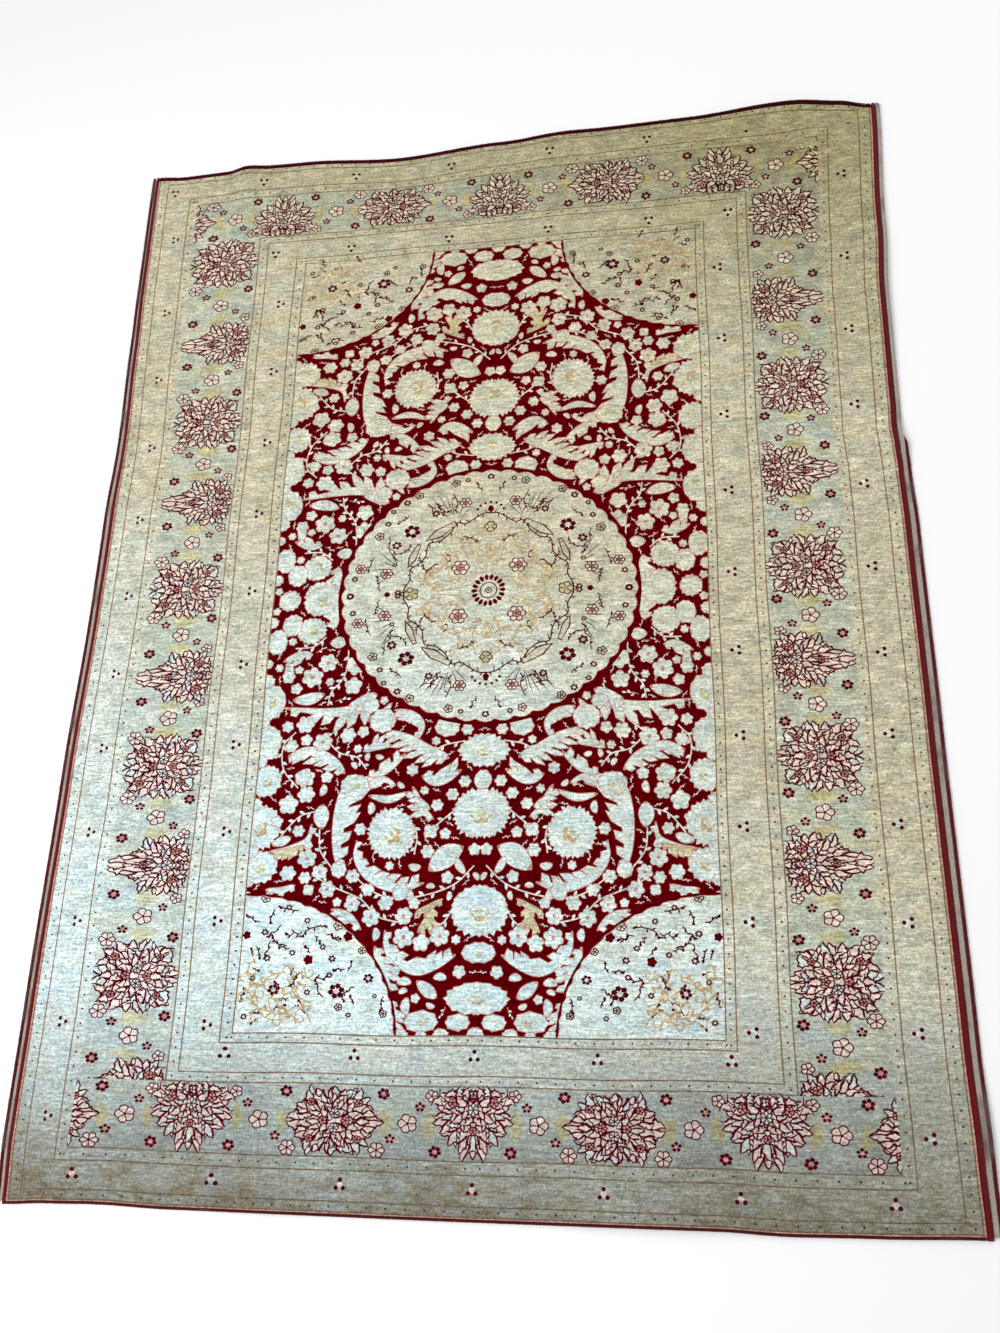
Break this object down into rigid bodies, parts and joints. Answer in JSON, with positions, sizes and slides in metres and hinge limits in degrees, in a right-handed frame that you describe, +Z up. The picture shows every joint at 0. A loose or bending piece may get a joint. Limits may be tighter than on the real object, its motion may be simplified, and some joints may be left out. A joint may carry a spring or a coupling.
{
  "type": "persian rug",
  "caption": "Hand-knotted medallion rug lying flat, with overcast side cords, narrow end bindings and a few low ripples.",
  "frame": {"origin": "middle of the rug's box, on the floor under the rug", "axes": "+Z up from the floor, +Y along the rug to its far end, +X across it to the right"},
  "size_m": [1.8328, 2.4576, 0.025],
  "materials": {
    "knotted_pile": "short knotted pile with a soft silky sheen",
    "overcast_crimson": "close wraps of crimson yarn",
    "overcast_dark": "close wraps of dark crimson yarn",
    "bare_web": "bare worn foundation, matt"
  },
  "bodies": {
    "root": {"rug_body": "knotted_pile", "inner_cord_left": "overcast_crimson", "inner_cord_right": "overcast_crimson", "side_web_left": "bare_web", "side_web_right": "bare_web", "outer_cord_left": "overcast_dark", "outer_cord_right": "overcast_dark", "end_binding_near": "overcast_dark", "end_binding_far": "overcast_dark"}
  },
  "joints": []
}
